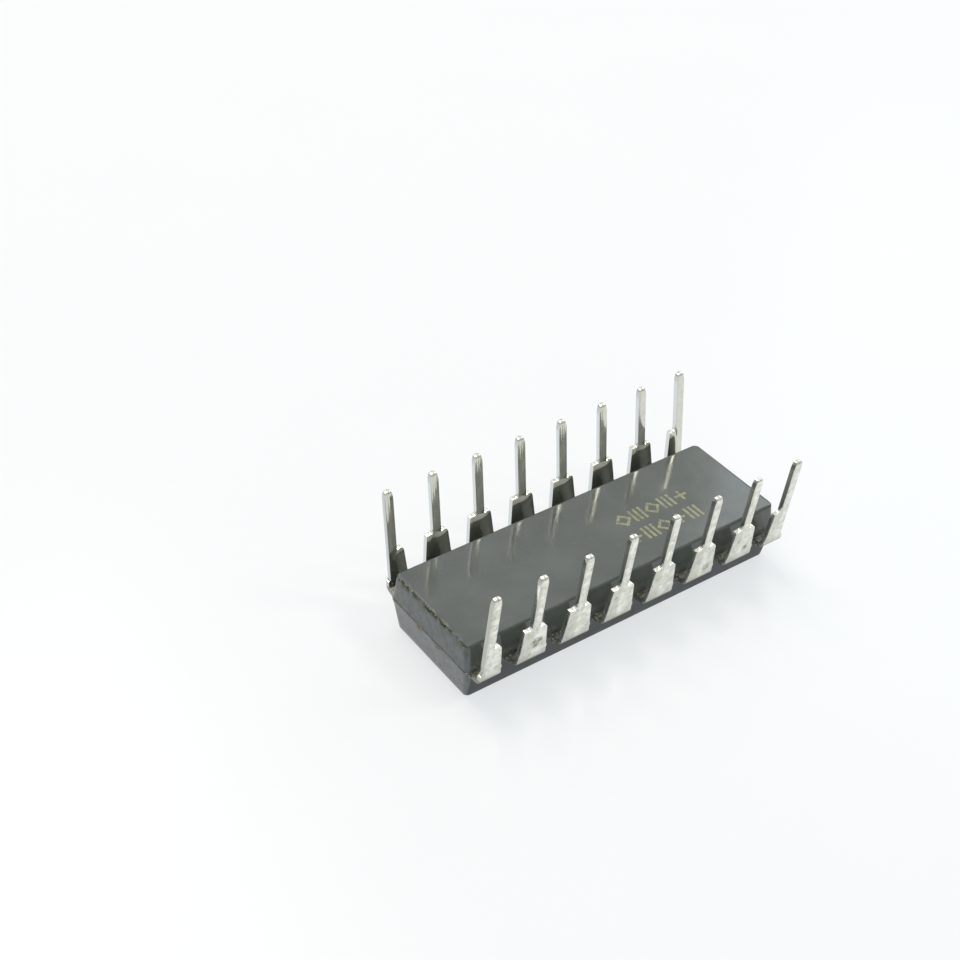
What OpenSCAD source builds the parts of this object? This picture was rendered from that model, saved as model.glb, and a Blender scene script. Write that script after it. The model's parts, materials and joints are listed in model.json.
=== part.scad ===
// Dual in-line package chip, lying on its marked face with its leads up.
// Millimetres. X runs along the lead rows, Y across them, and Z up.
// The origin is at the middle of the marked face, which rests on the table.

/* [Lead rows] */
// Distance between neighbouring leads in a row
pitch = 2.54; // [2.5:0.01:2.6]
// Distance from the last lead's centre to the end of the body
end_margin = 0.56; // [0.52:0.01:0.9]

/* [Moulded body] */
// Width of the body at its parting line
body_w = 6.35; // [6:0.05:7.2]
// Height of the marked half, from the marked face to the parting line
marked_half_h = 1.66; // [1.5:0.01:2]
// Height of the lead-side half, from the parting line to the lead-side face
lead_half_h = 1.62; // [1.45:0.01:2]
// Draft of the long sides of the lead-side half, in degrees
side_draft_lead_half = 7.6; // [5:0.1:12]
// Draft of the long sides of the marked half, in degrees
side_draft_marked_half = 9.8; // [5:0.1:12]
// Draft of the ends of the lead-side half, in degrees
end_draft_lead_half = 3.1; // [2:0.1:10]
// Draft of the ends of the marked half, in degrees
end_draft_marked_half = 6.5; // [5:0.1:12]
// Radius of the four upright corners
corner_r = 0.28; // [0.15:0.01:0.3]
// Radius of the rims round the two flat faces
rim_r = 0.07; // [0.03:0.01:0.12]
// Radius of the index notch in the end of the marked half
notch_r = 0.8; // [0.5:0.05:1.1]
// Depth of the index notch below the marked face
notch_depth = 0.6; // [0.3:0.05:0.9]
// Diameter of the ejector pin's mark in the marked face
ejector_d = 1.3; // [0.8:0.1:1.8]
// Depth of the ejector pin's mark
ejector_depth = 0.06; // [0.03:0.01:0.12]

/* [Leads outside the body] */
// Thickness of the lead frame's strip
strip_t = 0.25; // [0.2:0.01:0.3]
// Width of a pin
pin_w = 0.46; // [0.38:0.01:0.56]
// Length of a pin, from the top of its shoulder to its point
pin_len = 3.35; // [2.9:0.01:3.8]
// Height of the shoulders' top above the lead-side face
standoff = 0.55; // [0.38:0.01:0.8]
// Width of a shoulder at its top
shoulder_top_w = 1.21; // [1:0.01:1.3]
// Width of a shoulder at its root, beside the body
shoulder_root_w = 1.6; // [1.4:0.01:1.65]
// Straight run of a lead outside the body, before its bend
lead_run = 0.31; // [0.1:0.01:0.4]
// Inner radius of a lead's bend
bend_r = 0.17; // [0.1:0.01:0.3]
// Outward lean of the leads from upright, in degrees
splay = 6.5; // [0:0.1:10]
// Width of the foot on the outer side of a corner lead, from the pin's centre
corner_foot = 0.36; // [0.3:0.01:0.4]
// Height of that foot above the parting line
corner_foot_h = 0.5; // [0.3:0.05:0.7]
// Radius of the fillet between a pin and the left step of its shoulder
step_fillet_r = 0.11; // [0.05:0.01:0.16]
// Radius of the stamping relief between a pin and the right step of its shoulder
step_relief_r = 0.06; // [0.03:0.01:0.08]
// Radius of the rolled corner at the right of a shoulder
rolled_corner_r = 0.16; // [0.08:0.01:0.2]
// Length of the two bevels that narrow a pin to its point
point_len = 0.42; // [0.3:0.02:0.6]
// Length of the two bevels that thin a pin at its point
point_face_len = 0.2; // [0.1:0.02:0.3]
// Width of a pin's end, past its bevels
point_w = 0.2; // [0.1:0.01:0.3]
// Thickness of a pin's end, past its bevels
point_t = 0.11; // [0.05:0.01:0.15]

/* [Lead frame inside the body] */
// Length of the die pad
pad_l = 4.2; // [3.4:0.1:4.6]
// Width of the die pad
pad_w = 2.6; // [2:0.1:2.8]
// Distance that the die pad is set down from the fingers, away from the marked face
pad_downset = 0.3; // [0.2:0.02:0.4]
// Width of the tie bars that carry the die pad
tie_w = 0.4; // [0.3:0.02:0.44]
// Length of the sloped stretch of a tie bar
tie_slope_l = 0.5; // [0.4:0.05:0.8]
// Distance between the middles of the two prongs at a tie bar's end
tie_spread = 1.5; // [1.3:0.05:1.6]
// Length of those prongs, from the end wall to the far side of the bar across them
tie_prong_l = 0.85; // [0.7:0.05:0.9]
// Width of the bar across them
tie_cross_w = 0.3; // [0.2:0.02:0.4]
// Gap between the die pad and the fingers' tips
finger_gap = 0.3; // [0.2:0.02:0.4]
// Width of a finger at its tip
finger_tip_w = 0.36; // [0.28:0.02:0.4]
// Width of a finger along its middle
finger_mid_w = 0.5; // [0.4:0.02:0.56]
// Width of a finger where it leaves its lock
finger_root_w = 0.66; // [0.5:0.02:0.76]
// Length of a lead's full-width root inside the body's wall
root_depth = 0.3; // [0.2:0.02:0.4]
// Width of the neck that locks a lead into the moulding
lock_neck_w = 0.96; // [0.8:0.02:1.1]
// Length of that neck
lock_neck_l = 0.26; // [0.2:0.02:0.3]
// Length of the tapers at both ends of the neck
lock_taper = 0.14; // [0.1:0.02:0.16]
// Straight stretch of a finger between its lock and its first turn
finger_straight = 0.24; // [0.2:0.02:0.3]

/* [Die and wires] */
// Length of the die
die_l = 2.5; // [1.8:0.1:2.8]
// Width of the die
die_w = 1.7; // [1.4:0.1:1.8]
// Thickness of the die
die_t = 0.36; // [0.28:0.02:0.4]
// Thickness of the adhesive between the die and its pad
attach_t = 0.03; // [0.02:0.005:0.05]
// Width of the adhesive that shows round the die
attach_rim = 0.12; // [0.05:0.01:0.2]
// Diameter of a bond wire
wire_d = 0.03; // [0.025:0.005:0.05]
// Height of a wire's loop above the die's face
loop_h = 0.24; // [0.15:0.01:0.35]
// Diameter of a wire's ball
ball_d = 0.09; // [0.07:0.01:0.11]
// Height of a wire's ball
ball_h = 0.025; // [0.02:0.005:0.03]
// Distance of the bond points from the die's edge
bond_inset = 0.14; // [0.1:0.01:0.2]

/* [Hidden] */
// Smooth circles carry this many sides where they are drawn
$fn = 48;
// Leads in one row, and the leads on one side of its middle
ROW = 8;
HALF_ROW = ROW / 2;
// Cutting tools reach this far past what they cut
PAST = 1;
// The stretches of a lead's profile run this far into its bend, so that no rounded number parts them
SEAM_LAP = 0.0002;
// Segments in a quarter turn of the body's upright corners, and of its rims
CORNER_STEPS = 6;
RIM_STEPS = 3;

body_l = (ROW - 1) * pitch + 2 * end_margin;
body_h = marked_half_h + lead_half_h;
half_l = body_l / 2;
half_w = body_w / 2;
strip_z = marked_half_h;
strip_low = strip_z - strip_t / 2;
strip_high = strip_z + strip_t / 2;

// The bend turns the strip from level to the leads' lean
bend_turn = 90 - splay;
bend_mid_r = bend_r + strip_t / 2;
bend_y = half_w + lead_run;
bend_z = strip_z + bend_mid_r;
leg_y = bend_y + bend_mid_r * sin(bend_turn);
leg_z = bend_z - bend_mid_r * cos(bend_turn);
seat_z = body_h + standoff;
tip_z = seat_z + pin_len;
leg_len = (tip_z - leg_z) / cos(splay);
lead_reach = leg_y + leg_len * sin(splay) + strip_t;

// The die pad and what it carries, counted down towards the marked face
pad_z = strip_z + pad_downset;
pad_face = pad_z - strip_t / 2;
attach_face = pad_face - attach_t;
die_face = attach_face - die_t;
loop_z = die_face - loop_h;
// Middle of the bar across a tie bar's prongs
cross_x = half_l - tie_prong_l + tie_cross_w / 2;
// A wire is drawn with flat sides, and each of its stretches laps a little into the next
WIRE_SIDES = 8;
wire_lap = 0.2 * wire_d;

// Where each stretch of a lead inside the body ends, measured across the body from its middle
root_y = half_w - root_depth;
neck_y = root_y - lock_taper;
neck_end_y = neck_y - lock_neck_l;
finger_y = neck_end_y - lock_taper;
turn_y = finger_y - finger_straight;

// Plan routes of the four fingers in one quarter, from the middle of the row outwards:
// each starts at its first turn and ends beside the die pad
tip_x = pad_l / 2 + finger_gap;
tip_y = pad_w / 2 + finger_gap;
finger_routes = [
    [[0.5 * pitch, turn_y], [0.29 * pitch, tip_y]],
    [[1.5 * pitch, turn_y], [0.74 * pitch, tip_y]],
    [[2.5 * pitch, turn_y], [1.4 * pitch, 0.38 * half_w], [tip_x, 0.33 * half_w]],
    [[3.5 * pitch, turn_y], [3.0 * pitch, 0.2 * half_w], [tip_x, 0.14 * half_w]]
];
// Where each finger's wire leaves the die, as shares of the way from the die's centre to its bond line
bond_shares = [[0.28, 1], [0.8, 1], [1, 0.62], [1, 0.2]];
// A wire's knee and the start of its fall, as shares of its span, and their heights as shares of its loop
KNEE_SHARE = 0.12;
FALL_SHARE = 0.62;
RISER_SHARE = 0.75;

function numbered(stem, n) = str(stem, n < 10 ? "0" : "", n);

// Lead 1 is beside the index notch, and the count runs round the body from there
function lead_side(n) = n <= ROW ? -1 : 1;
function lead_column(n) = n <= ROW ? ROW - n : n - ROW - 1;
function lead_x(n) = (lead_column(n) - (ROW - 1) / 2) * pitch;
function lead_end(n) = lead_x(n) < 0 ? -1 : 1;
function lead_rank(n) = floor(abs(lead_x(n)) / pitch);
function is_corner(n) = lead_rank(n) == HALF_ROW - 1;

// Points of a strip of changing width along a route, one side out and the other back
function unit(v) = v / norm(v);
function side_of(v) = [-v[1], v[0]];
function heading(p, i) =
    i == 0 ? unit(p[1] - p[0])
    : i == len(p) - 1 ? unit(p[i] - p[i - 1])
    : unit(unit(p[i] - p[i - 1]) + unit(p[i + 1] - p[i]));
function half_mitre(p, i, w) =
    w / 2 / (i == 0 ? 1 : heading(p, i) * unit(p[i] - p[i - 1]));
function strip_points(p, w) = concat(
    [for (i = [0 : len(p) - 1]) p[i] + side_of(heading(p, i)) * half_mitre(p, i, w[i])],
    [for (i = [len(p) - 1 : -1 : 0]) p[i] - side_of(heading(p, i)) * half_mitre(p, i, w[i])]
);

// One level ring of the body: a rectangle with rounded corners
function body_ring(x, y, r, z) = [
    for (q = [0 : 3], s = [0 : CORNER_STEPS])
        let (
            a = 90 * q + 90 * s / CORNER_STEPS,
            cx = (q == 0 || q == 3 ? 1 : -1) * (x - r),
            cy = (q < 2 ? 1 : -1) * (y - r)
        )
        [cx + r * cos(a), cy + r * sin(a), z]
];

// Rings of one half, from the parting line to its flat face at height h, with a rolled rim
function half_rings(h, side_draft, end_draft, sign) = [
    for (s = [0 : RIM_STEPS])
        let (
            a = 90 * s / RIM_STEPS,
            up = h - rim_r * (1 - sin(a)),
            roll = rim_r * (1 - cos(a))
        )
        body_ring(
            half_l - up * tan(end_draft) - roll,
            half_w - up * tan(side_draft) - roll,
            corner_r - roll,
            strip_z + sign * up
        )
];

function reversed(list) = [for (i = [len(list) - 1 : -1 : 0]) list[i]];

// The moulded form before anything is taken out of it
module moulding() {
    rings = concat(
        reversed(half_rings(marked_half_h, side_draft_marked_half, end_draft_marked_half, -1)),
        [body_ring(half_l, half_w, corner_r, strip_z)],
        half_rings(lead_half_h, side_draft_lead_half, end_draft_lead_half, 1)
    );
    count = len(rings[0]);
    last = len(rings) - 1;
    polyhedron(
        points = [for (ring = rings, p = ring) p],
        faces = concat(
            [[for (i = [0 : count - 1]) i]],
            [for (k = [0 : last - 1], i = [0 : count - 1])
                let (j = (i + 1) % count)
                [k * count + i, (k + 1) * count + i, (k + 1) * count + j, k * count + j]],
            [[for (i = [count - 1 : -1 : 0]) last * count + i]]
        )
    );
}

// Half-round index notch, open to the end and to the marked face
module index_notch() {
    translate([half_l - marked_half_h * tan(end_draft_marked_half), 0, -PAST])
        cylinder(r = notch_r, h = PAST + notch_depth);
}

// Shallow round mark that the mould's ejector pin leaves, away from the notch
module ejector_mark() {
    translate([-half_l / 2, 0, -PAST])
        cylinder(d = ejector_d, h = PAST + ejector_depth);
}

// Side view of a lead outside the body, in Y and Z: the end of the level strip, the bend and the leg
module lead_profile() {
    translate([half_w, strip_low]) square([lead_run + SEAM_LAP, strip_t]);
    intersection() {
        translate([bend_y, bend_z]) difference() {
            circle(r = bend_r + strip_t);
            circle(r = bend_r);
        }
        translate([bend_y, bend_z])
            polygon([[0, 0], [0, -PAST], [PAST, -PAST], PAST * [sin(bend_turn), -cos(bend_turn)]]);
    }
    translate([leg_y, leg_z]) rotate(-splay) polygon([
        [-strip_t / 2, -SEAM_LAP], [strip_t / 2, -SEAM_LAP],
        [strip_t / 2, leg_len - point_face_len], [point_t / 2, leg_len],
        [-point_t / 2, leg_len], [-strip_t / 2, leg_len - point_face_len]
    ]);
}

// Front view of a pin with its point, in X and Z
module pin_outline() {
    polygon([
        [-pin_w / 2, strip_low], [pin_w / 2, strip_low],
        [pin_w / 2, tip_z - point_len], [point_w / 2, tip_z],
        [-point_w / 2, tip_z], [-pin_w / 2, tip_z - point_len]
    ]);
}

// Half of a shoulder's front view, on the positive side of the pin's centre
module half_shoulder() {
    polygon([
        [0, strip_low], [shoulder_root_w / 2, strip_low], [shoulder_root_w / 2, strip_high],
        [shoulder_top_w / 2, seat_z], [0, seat_z]
    ]);
}

// Left step: a plain corner with a fillet at the pin
module left_shoulder() {
    mirror([1, 0]) {
        half_shoulder();
        translate([pin_w / 2, seat_z]) difference() {
            square(step_fillet_r);
            translate([step_fillet_r, step_fillet_r]) circle(r = step_fillet_r);
        }
    }
}

// Right step: a relief at the pin and a rolled outer corner
module right_shoulder() {
    difference() {
        half_shoulder();
        translate([pin_w / 2 + step_relief_r, seat_z]) circle(r = step_relief_r);
        translate([shoulder_top_w / 2 - rolled_corner_r, seat_z - rolled_corner_r]) difference() {
            square(2 * rolled_corner_r);
            circle(r = rolled_corner_r);
        }
    }
}

// Outer side of a corner lead: only a low foot with a concave top
module corner_foot_outline() {
    foot_w = corner_foot - pin_w / 2;
    translate([pin_w / 2, strip_low]) square([foot_w, corner_foot_h + strip_t / 2]);
    translate([pin_w / 2, strip_z + corner_foot_h]) difference() {
        square(foot_w);
        translate([foot_w, foot_w]) circle(r = foot_w);
    }
}

// Front view of a lead outside the body, with the pin's centre at X = 0
module lead_outline(n) {
    pin_outline();
    if (is_corner(n) && lead_end(n) < 0) mirror([1, 0]) corner_foot_outline();
    else left_shoulder();
    if (is_corner(n) && lead_end(n) > 0) corner_foot_outline();
    else right_shoulder();
}

// Plan view of the finger inside the body, in the quarter where X and Y are positive
module finger_outline(n) {
    rank = lead_rank(n);
    x = (rank + 0.5) * pitch;
    outer = is_corner(n) ? corner_foot : shoulder_root_w / 2;
    neck_outer = min(outer, lock_neck_w / 2);
    route = finger_routes[rank];
    mid_widths = len(route) > 2 ? [finger_mid_w] : [];
    polygon([
        [x - shoulder_root_w / 2, bend_y], [x - shoulder_root_w / 2, root_y],
        [x - lock_neck_w / 2, neck_y], [x - lock_neck_w / 2, neck_end_y],
        [x - finger_root_w / 2, finger_y], [x + finger_root_w / 2, finger_y],
        [x + neck_outer, neck_end_y], [x + neck_outer, neck_y],
        [x + outer, root_y], [x + outer, bend_y]
    ]);
    polygon(strip_points(
        concat([[x, neck_end_y]], route),
        concat([finger_root_w, finger_root_w], mid_widths, [finger_tip_w])
    ));
}

// The level stretch of a lead, from the finger's tip to the start of the bend
module level_strip(n) {
    mirror([lead_end(n) < 0 ? 1 : 0, 0, 0])
        translate([0, 0, strip_low]) linear_extrude(height = strip_t) finger_outline(n);
}

// One lead in the row at positive Y
module lead_outside(n) {
    translate([lead_x(n), 0, 0]) intersection() {
        rotate([90, 0, 90]) linear_extrude(height = 2 * pitch, center = true) lead_profile();
        rotate([90, 0, 0]) translate([0, 0, -lead_reach])
            linear_extrude(height = lead_reach - half_w) lead_outline(n);
    }
}

module lead(n) {
    color([0.82, 0.83, 0.80]) mirror([0, lead_side(n) < 0 ? 1 : 0, 0]) {
        level_strip(n);
        lead_outside(n);
    }
}

// Plan view of the die pad and its tie bars, each forked into two prongs at the end wall
module die_pad_outline() {
    square([pad_l, pad_w], center = true);
    square([2 * cross_x, tie_w], center = true);
    for (end = [-1, 1]) {
        translate([end * cross_x, 0]) square([tie_cross_w, tie_spread + tie_w], center = true);
        for (prong = [-1, 1])
            translate([end * (half_l - tie_prong_l / 2), prong * tie_spread / 2])
                square([tie_prong_l, tie_w], center = true);
    }
}

// The die pad, set down on its sloped tie bars, whose prongs are cut flush with the body's end walls
module die_pad() {
    slope_end = pad_l / 2;
    slope_start = slope_end + tie_slope_l;
    side_view = [
        [half_l, strip_z], [slope_start, strip_z], [slope_end, pad_z],
        [-slope_end, pad_z], [-slope_start, strip_z], [-half_l, strip_z]
    ];
    color([0.72, 0.60, 0.45]) intersection() {
        rotate([90, 0, 0]) linear_extrude(height = pad_w, center = true)
            polygon(concat(
                [for (p = side_view) p + [0, strip_t / 2]],
                [for (p = reversed(side_view)) p - [0, strip_t / 2]]
            ));
        linear_extrude(height = body_h) die_pad_outline();
    }
}

module die_attach() {
    color([0.80, 0.80, 0.82])
        translate([0, 0, attach_face + attach_t / 2])
            cube([die_l + 2 * attach_rim, die_w + 2 * attach_rim, attach_t], center = true);
}

module die() {
    color([0.35, 0.38, 0.45])
        translate([0, 0, die_face + die_t / 2])
            cube([die_l, die_w, die_t], center = true);
}

// One straight stretch of wire from a point to the next
module stretch(a, b) {
    v = b - a;
    translate(a) rotate([0, acos(v[2] / norm(v)), atan2(v[1], v[0])])
        cylinder(d = wire_d, h = norm(v) + wire_lap, $fn = WIRE_SIDES);
}

// A bond wire in the quarter where X and Y are positive: ball, riser, knee, span and stitch
module quarter_wire(rank) {
    route = finger_routes[rank];
    share = bond_shares[rank];
    start = [share[0] * (die_l / 2 - bond_inset), share[1] * (die_w / 2 - bond_inset)];
    tip = route[len(route) - 1];
    back = unit(route[len(route) - 2] - tip);
    stitch = tip + back * finger_tip_w / 2;
    way = stitch - start;
    knee = start + KNEE_SHARE * way;
    fall = start + FALL_SHARE * way;
    riser_z = die_face - RISER_SHARE * loop_h;
    points = [
        [start[0], start[1], die_face],
        [start[0], start[1], riser_z],
        [knee[0], knee[1], loop_z],
        [fall[0], fall[1], riser_z],
        [stitch[0], stitch[1], strip_low + wire_d / 4]
    ];
    difference() {
        union() {
            translate([start[0], start[1], die_face - ball_h]) cylinder(d = ball_d, h = ball_h);
            for (i = [0 : len(points) - 2]) stretch(points[i], points[i + 1]);
        }
        translate([stitch[0], stitch[1], strip_low + PAST / 2]) cube(PAST, center = true);
    }
}

module wire(n) {
    color([0.95, 0.78, 0.30])
        mirror([lead_end(n) < 0 ? 1 : 0, 0, 0]) mirror([0, lead_side(n) < 0 ? 1 : 0, 0])
            quarter_wire(lead_rank(n));
}

// The moulded body, with room for exactly what is sealed in it
module body() {
    color([0.22, 0.23, 0.24]) difference() {
        moulding();
        index_notch();
        ejector_mark();
        for (n = [1 : 2 * ROW]) {
            mirror([0, lead_side(n) < 0 ? 1 : 0, 0]) level_strip(n);
            wire(n);
        }
        die_pad();
        die_attach();
        die();
    }
}

body();
die_pad();
die_attach();
die();
for (n = [1 : 2 * ROW]) lead(n);
for (n = [1 : 2 * ROW]) wire(n);
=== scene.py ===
# %% [markdown]
# This lesson dresses a sixteen-lead dip chip that lies on its marked face with its pins in the air.
# The shapes come from a CAD model, already at its true place and in metres, so nothing has to be
# fitted. Blender adds what the CAD leaves out: worn edges, resin flash, tin, gold and silicon.

import json
import math

import bmesh
import bpy
from mathutils import Matrix, Vector, noise

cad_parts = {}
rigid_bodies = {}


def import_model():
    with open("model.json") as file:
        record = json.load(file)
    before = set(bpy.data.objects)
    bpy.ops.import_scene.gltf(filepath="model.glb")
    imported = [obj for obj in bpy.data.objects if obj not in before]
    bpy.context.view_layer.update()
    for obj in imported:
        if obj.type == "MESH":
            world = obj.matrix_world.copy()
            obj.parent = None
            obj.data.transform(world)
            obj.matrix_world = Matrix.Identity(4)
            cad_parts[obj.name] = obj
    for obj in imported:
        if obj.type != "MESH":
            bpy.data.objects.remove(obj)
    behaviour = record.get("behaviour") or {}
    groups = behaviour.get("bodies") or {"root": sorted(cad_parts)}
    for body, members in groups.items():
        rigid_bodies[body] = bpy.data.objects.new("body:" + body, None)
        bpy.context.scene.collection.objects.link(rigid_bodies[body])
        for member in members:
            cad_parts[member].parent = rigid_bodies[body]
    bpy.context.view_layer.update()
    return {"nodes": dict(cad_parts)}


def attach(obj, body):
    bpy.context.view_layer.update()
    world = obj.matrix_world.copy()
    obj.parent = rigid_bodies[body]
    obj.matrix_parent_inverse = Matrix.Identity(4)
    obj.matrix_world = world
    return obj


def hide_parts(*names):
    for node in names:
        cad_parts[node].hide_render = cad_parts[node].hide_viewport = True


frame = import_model()
MM = 0.001

# %% [markdown]
# The camera stands at the front left and looks down at the chip from a hand's width away. Its place
# could be found by eye, but a chip has so many known distances that it was solved for instead: the
# pins stand 2.54 mm apart, and their tips and the corners of the body fix the lens and the turn.
# Blender's camera looks along its own -Z, so the view direction goes in with its sign turned.

# %% Camera
CAMERA_PLACE = Vector((-41.2151, -46.1192, 55.6)) * MM
VIEW_RIGHT = Vector((0.816744, -0.576034, 0.033387))
VIEW_DOWN = Vector((-0.337667, -0.524085, -0.781867))
VIEW_AHEAD = Vector((0.467879, 0.627311, -0.622551))

camera_data = bpy.data.cameras.new("camera")
camera_data.sensor_width = 36
camera_data.lens = 62.394
camera_data.clip_start = 1 * MM
camera_data.clip_end = 10
camera = bpy.data.objects.new("camera", camera_data)
camera_turn = Matrix((VIEW_RIGHT, -VIEW_DOWN, -VIEW_AHEAD)).transposed()
camera.matrix_world = Matrix.Translation(CAMERA_PLACE) @ camera_turn.to_4x4()
bpy.context.scene.collection.objects.link(camera)
bpy.context.scene.camera = camera
bpy.context.scene.view_settings.view_transform = "Standard"
print("camera distance in mm:", round(CAMERA_PLACE.length / MM, 1))

# %% [markdown]
# Materials are built from nodes, and the same few steps come back each time: a noise of a given
# grain size, a sum of two masks, a mix of two colours. Small helpers keep the recipes below short.
# Every pattern reads Object coordinates, which for these pieces are plain metres in the frame.

# %% Helpers for node materials


class Finish:
    """One material with its shader, and short ways to add nodes to it."""

    def __init__(self, name):
        self.material = bpy.data.materials.new(name)
        self.material.use_nodes = True
        self.tree = self.material.node_tree
        self.shader = self.tree.nodes["Principled BSDF"]
        self.place = self.tree.nodes.new("ShaderNodeTexCoord").outputs["Object"]

    def add(self, kind, **settings):
        made = self.tree.nodes.new(kind)
        for name, value in settings.items():
            setattr(made, name, value)
        return made

    def plug(self, value, socket):
        if isinstance(value, bpy.types.NodeSocket):
            self.tree.links.new(value, socket)
        else:
            socket.default_value = value

    def sum(self, operation, first, second=0.0, clamp=False):
        made = self.add("ShaderNodeMath", operation=operation, use_clamp=clamp)
        self.plug(first, made.inputs[0])
        self.plug(second, made.inputs[1])
        return made.outputs[0]

    def axes(self):
        made = self.add("ShaderNodeSeparateXYZ")
        self.plug(self.place, made.inputs[0])
        return made.outputs["X"], made.outputs["Y"], made.outputs["Z"]

    def stretched(self, x, y, z):
        made = self.add("ShaderNodeMapping")
        self.plug(self.place, made.inputs["Vector"])
        made.inputs["Scale"].default_value = (x, y, z)
        return made.outputs["Vector"]

    def grain(self, size, detail=3.0, place=None, rough=0.5):
        """Noise between 0 and 1 whose blobs are about this many millimetres across."""
        made = self.add("ShaderNodeTexNoise")
        self.plug(place or self.place, made.inputs["Vector"])
        made.inputs["Scale"].default_value = 1 / (size * MM)
        made.inputs["Detail"].default_value = detail
        made.inputs["Roughness"].default_value = rough
        return made.outputs["Fac"]

    def between(self, value, low, high, start=0.0, end=1.0):
        """Start below low, end above high, and a smooth step from one to the other."""
        made = self.add("ShaderNodeMapRange", interpolation_type="SMOOTHSTEP")
        for socket, number in zip(made.inputs[1:5], (low, high, start, end)):
            socket.default_value = number
        self.plug(value, made.inputs[0])
        return made.outputs[0]

    def blend(self, share, first, second):
        made = self.add("ShaderNodeMix", data_type="RGBA")
        self.plug(share, made.inputs[0])
        self.plug(first, made.inputs[6])
        self.plug(second, made.inputs[7])
        return made.outputs[2]

    def relief(self, height, depth, strength=1.0):
        """Bump of this depth in millimetres."""
        made = self.add("ShaderNodeBump")
        made.inputs["Strength"].default_value = strength
        made.inputs["Distance"].default_value = depth * MM
        self.plug(height, made.inputs["Height"])
        self.plug(made.outputs["Normal"], self.shader.inputs["Normal"])

    def set(self, **values):
        for name, value in values.items():
            self.plug(value, self.shader.inputs[name.replace("_", " ")])


def paint(red, green, blue):
    """A colour as the screen shows it, from 0 to 255, turned into the linear light that nodes use."""
    shares = [value / 255 for value in (red, green, blue)]
    return [
        share / 12.92 if share <= 0.04045 else ((share + 0.055) / 1.055) ** 2.4
        for share in shares
    ] + [1.0]


print("mid grey as linear light:", [round(value, 3) for value in paint(128, 128, 128)])

# %% [markdown]
# The chip was laid on a plain white sheet under a window. A sheet could be drawn with edges and a
# curved backdrop, but here it fills the view, so one wide flat floor does. It is pale in colour, so
# that it looks white under an ordinary amount of light, and a little glossy, as the real one is.

# %% Floor
FLOOR_HALF = 1.5
floor_shape = bmesh.new()
bmesh.ops.create_grid(floor_shape, x_segments=1, y_segments=1, size=FLOOR_HALF)
floor_mesh = bpy.data.meshes.new("floor")
floor_shape.to_mesh(floor_mesh)
floor_shape.free()
floor = bpy.data.objects.new("floor", floor_mesh)
bpy.context.scene.collection.objects.link(floor)

white_sheet = Finish("white_sheet")
m = white_sheet
m.set(
    Base_Color=m.blend(m.grain(9.0), paint(242, 243, 243), paint(246, 246, 246)),
    Roughness=0.2,
    Specular_IOR_Level=0.35,
)
floor_mesh.materials.append(white_sheet.material)
print("floor side in m:", 2 * FLOOR_HALF)

# %% [markdown]
# The photograph is light all over: even the shadow stays near white, because a whole bright room fills
# it. More lamps would fill it too, but they would wash out the chip. So what the camera and the shiny
# metal see of the floor is part plain white and part the lit sheet, which keeps a pale shadow, while
# the light that the floor throws on the chip stays that of a real sheet.

# %% Pale shadow
SHARE_OF_WHITE = 0.66


def seen_directly(tree):
    """One for what the camera, a mirror or a clear piece looks at, and zero for soft light."""
    rays = tree.nodes.new("ShaderNodeLightPath")
    first = tree.nodes.new("ShaderNodeMath")
    first.operation = "MAXIMUM"
    second = tree.nodes.new("ShaderNodeMath")
    second.operation = "MAXIMUM"
    tree.links.new(rays.outputs["Is Camera Ray"], first.inputs[0])
    tree.links.new(rays.outputs["Is Glossy Ray"], first.inputs[1])
    tree.links.new(first.outputs[0], second.inputs[0])
    tree.links.new(rays.outputs["Is Transmission Ray"], second.inputs[1])
    return second.outputs[0]


plain_white = m.add("ShaderNodeEmission")
plain_white.inputs["Color"].default_value = paint(243, 246, 248)
sheet_mix = m.add("ShaderNodeMixShader")
m.plug(m.sum("MULTIPLY", seen_directly(m.tree), SHARE_OF_WHITE), sheet_mix.inputs["Fac"])
m.plug(m.shader.outputs[0], sheet_mix.inputs[1])
m.plug(plain_white.outputs[0], sheet_mix.inputs[2])
m.plug(sheet_mix.outputs[0], m.tree.nodes["Material Output"].inputs["Surface"])
print("white share of the floor:", SHARE_OF_WHITE)

# %% [markdown]
# A window at the back lights the chip: its shadow falls towards the camera, the pins' inner faces
# stay dark and the lead side of the body shows a soft sheen. A wide panel behind and above is that
# window. A cooler one at the back right only gives the sheen its blue end, a weak one at the front
# left is the room, and the world around adds the rest. Together they leave a white sheet white. A
# small bright lamp at the front right lights little, but the pins mirror it as streaks in the body.
# What is mirrored is a white room with one dark corner at the back left, beside the window.

# %% Lamps and world


def panel(name, place, side, power, colour=(1.0, 1.0, 1.0)):
    lamp = bpy.data.lights.new(name, "AREA")
    lamp.shape = "SQUARE"
    lamp.size = side
    lamp.energy = power
    lamp.color = colour
    holder = bpy.data.objects.new(name, lamp)
    aim = (-Vector(place)).to_track_quat("-Z", "Y").to_matrix().to_4x4()
    holder.matrix_world = Matrix.Translation(place) @ aim
    bpy.context.scene.collection.objects.link(holder)
    return holder


window = panel("window", (-0.01, 0.22, 0.34), 0.22, 0.92, (1.0, 0.92, 0.80))
side_window = panel("side_window", (0.33, 0.18, 0.25), 0.17, 0.16, (0.80, 0.93, 1.0))
room = panel("room", (-0.25, -0.22, 0.34), 0.30, 0.35, (1.0, 0.98, 0.94))
small_lamp = panel("small_lamp", (0.253, -0.221, 0.370), 0.10, 0.6, (1.0, 1.0, 0.92))

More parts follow.
